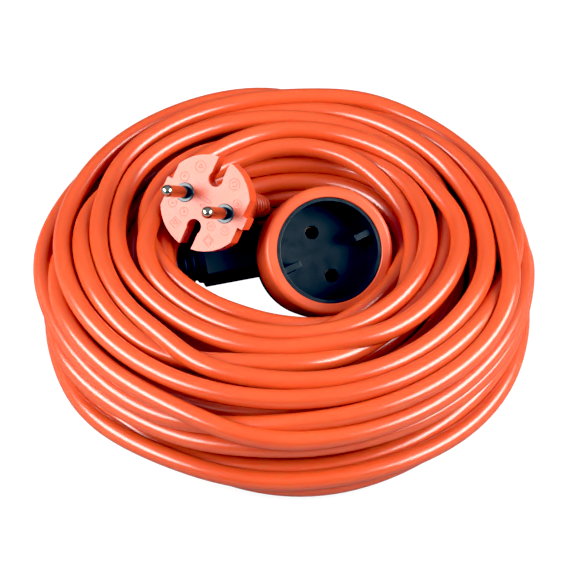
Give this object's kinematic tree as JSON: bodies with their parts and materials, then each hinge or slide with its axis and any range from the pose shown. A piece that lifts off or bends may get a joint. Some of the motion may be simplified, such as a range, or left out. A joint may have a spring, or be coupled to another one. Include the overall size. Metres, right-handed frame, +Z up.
{
  "type": "extension cord",
  "caption": "Two-pole extension cord in a round hand-wound coil, with a contour plug and a round trailing socket in its hole.",
  "frame": {"origin": "centre of the coil on the surface that it lies on", "axes": "+Z up, the coil's axis; -Y towards the side that the plug's pins and the socket's recess face; +X to the right seen from there"},
  "size_m": [0.194, 0.194, 0.0744],
  "materials": {
    "cable_pvc": "soft glossy orange PVC sheath",
    "plug_pvc": "moulded orange PVC",
    "pin_collar": "moulded grey-blue plastic",
    "pin_metal": "nickel-plated brass, polished",
    "brass": "stamped brass",
    "copper": "bright stranded copper",
    "core_brown": "brown core insulation",
    "core_blue": "blue core insulation",
    "socket_orange": "satin orange plastic",
    "socket_black": "fine-grained black plastic",
    "screw_steel": "zinc-plated steel"
  },
  "bodies": {
    "root": {"plug_body": "plug_pvc", "plug_strain_relief": "plug_pvc", "plug_pin_bridge": "pin_collar", "plug_pin_live": "pin_metal", "plug_pin_neutral": "pin_metal", "plug_crimp_live": "brass", "plug_crimp_neutral": "brass", "plug_wire_live": "copper", "plug_wire_neutral": "copper", "plug_core_brown": "core_brown", "plug_core_blue": "core_blue", "plug_cable_end": "cable_pvc", "socket_collar": "socket_orange", "socket_insert": "socket_black", "socket_rear_housing": "socket_black", "socket_housing_screws": "screw_steel", "socket_contact_live": "brass", "socket_contact_neutral": "brass", "socket_terminal_screws": "screw_steel", "socket_wire_live": "copper", "socket_wire_neutral": "copper", "socket_core_brown": "core_brown", "socket_core_blue": "core_blue", "socket_cord_clamp": "socket_black", "socket_clamp_screws": "screw_steel", "socket_strain_relief": "socket_black", "socket_cable_end": "cable_pvc", "cable_coil": "cable_pvc", "plug_lead": "cable_pvc", "socket_lead": "cable_pvc"}
  },
  "joints": []
}
